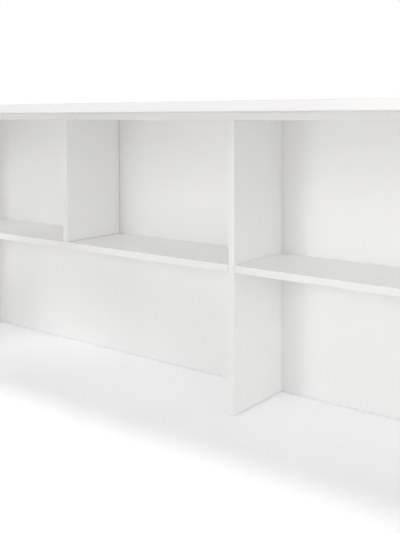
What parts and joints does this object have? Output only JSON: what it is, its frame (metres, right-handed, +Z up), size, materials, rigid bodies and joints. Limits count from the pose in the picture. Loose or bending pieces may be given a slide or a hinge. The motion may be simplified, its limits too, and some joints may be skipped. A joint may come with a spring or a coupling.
{
  "type": "high sleeper bed",
  "caption": "White high sleeper bed: slatted bunk with guard boards and ladder on square posts, over a full-length desk and a low open shelving unit.",
  "frame": {"origin": "on the floor, at the middle of the bed's footprint", "axes": "+X along the bed to the right as seen from the front, +Y to the wall behind the bed, +Z up"},
  "size_m": [2.136, 1.036, 1.8],
  "materials": {
    "white_frame": "white satin paint on solid wood, with eased edges",
    "white_board": "white satin foil on furniture board, with thin edge bands",
    "pine": "planed, unfinished pine with long grain",
    "zinc_steel": "zinc-plated steel"
  },
  "bodies": {
    "root": {"post_front_left": "white_frame", "post_rear_left": "white_frame", "post_front_right": "white_frame", "post_rear_right": "white_frame", "low_rail_left": "white_frame", "desk_rail_left": "white_frame", "end_rail_left": "white_frame", "guard_left_lower": "white_frame", "guard_left_upper": "white_frame", "low_rail_right": "white_frame", "desk_rail_right": "white_frame", "end_rail_right": "white_frame", "guard_right_lower": "white_frame", "guard_right_upper": "white_frame", "side_rail_front": "white_frame", "guard_front_lower": "white_frame", "guard_front_upper": "white_frame", "side_rail_rear": "white_frame", "guard_rear_lower": "white_frame", "guard_rear_upper": "white_frame", "bed_bolt_front_left": "zinc_steel", "barrel_nut_front_left": "zinc_steel", "bed_bolt_rear_left": "zinc_steel", "barrel_nut_rear_left": "zinc_steel", "bed_bolt_front_right": "zinc_steel", "barrel_nut_front_right": "zinc_steel", "bed_bolt_rear_right": "zinc_steel", "barrel_nut_rear_right": "zinc_steel", "slat_bearer_front": "pine", "slat_bearer_rear": "pine", "slat_01": "pine", "slat_02": "pine", "slat_03": "pine", "slat_04": "pine", "slat_05": "pine", "slat_06": "pine", "slat_07": "pine", "slat_08": "pine", "slat_09": "pine", "slat_10": "pine", "slat_11": "pine", "slat_12": "pine", "ladder_stile": "white_frame", "ladder_tread_1": "white_frame", "ladder_tread_2": "white_frame", "ladder_tread_3": "white_frame", "ladder_tread_4": "white_frame", "ladder_tread_5": "white_frame", "unit_end_left": "white_board", "unit_partition": "white_board", "unit_end_right": "white_board", "cubby_divider": "white_board", "unit_back": "white_board", "unit_top": "white_board", "shelf_left": "white_board", "shelf_right": "white_board", "desk_top": "white_board", "desk_cleat_left": "white_board", "desk_cleat_right": "white_board"}
  },
  "joints": []
}
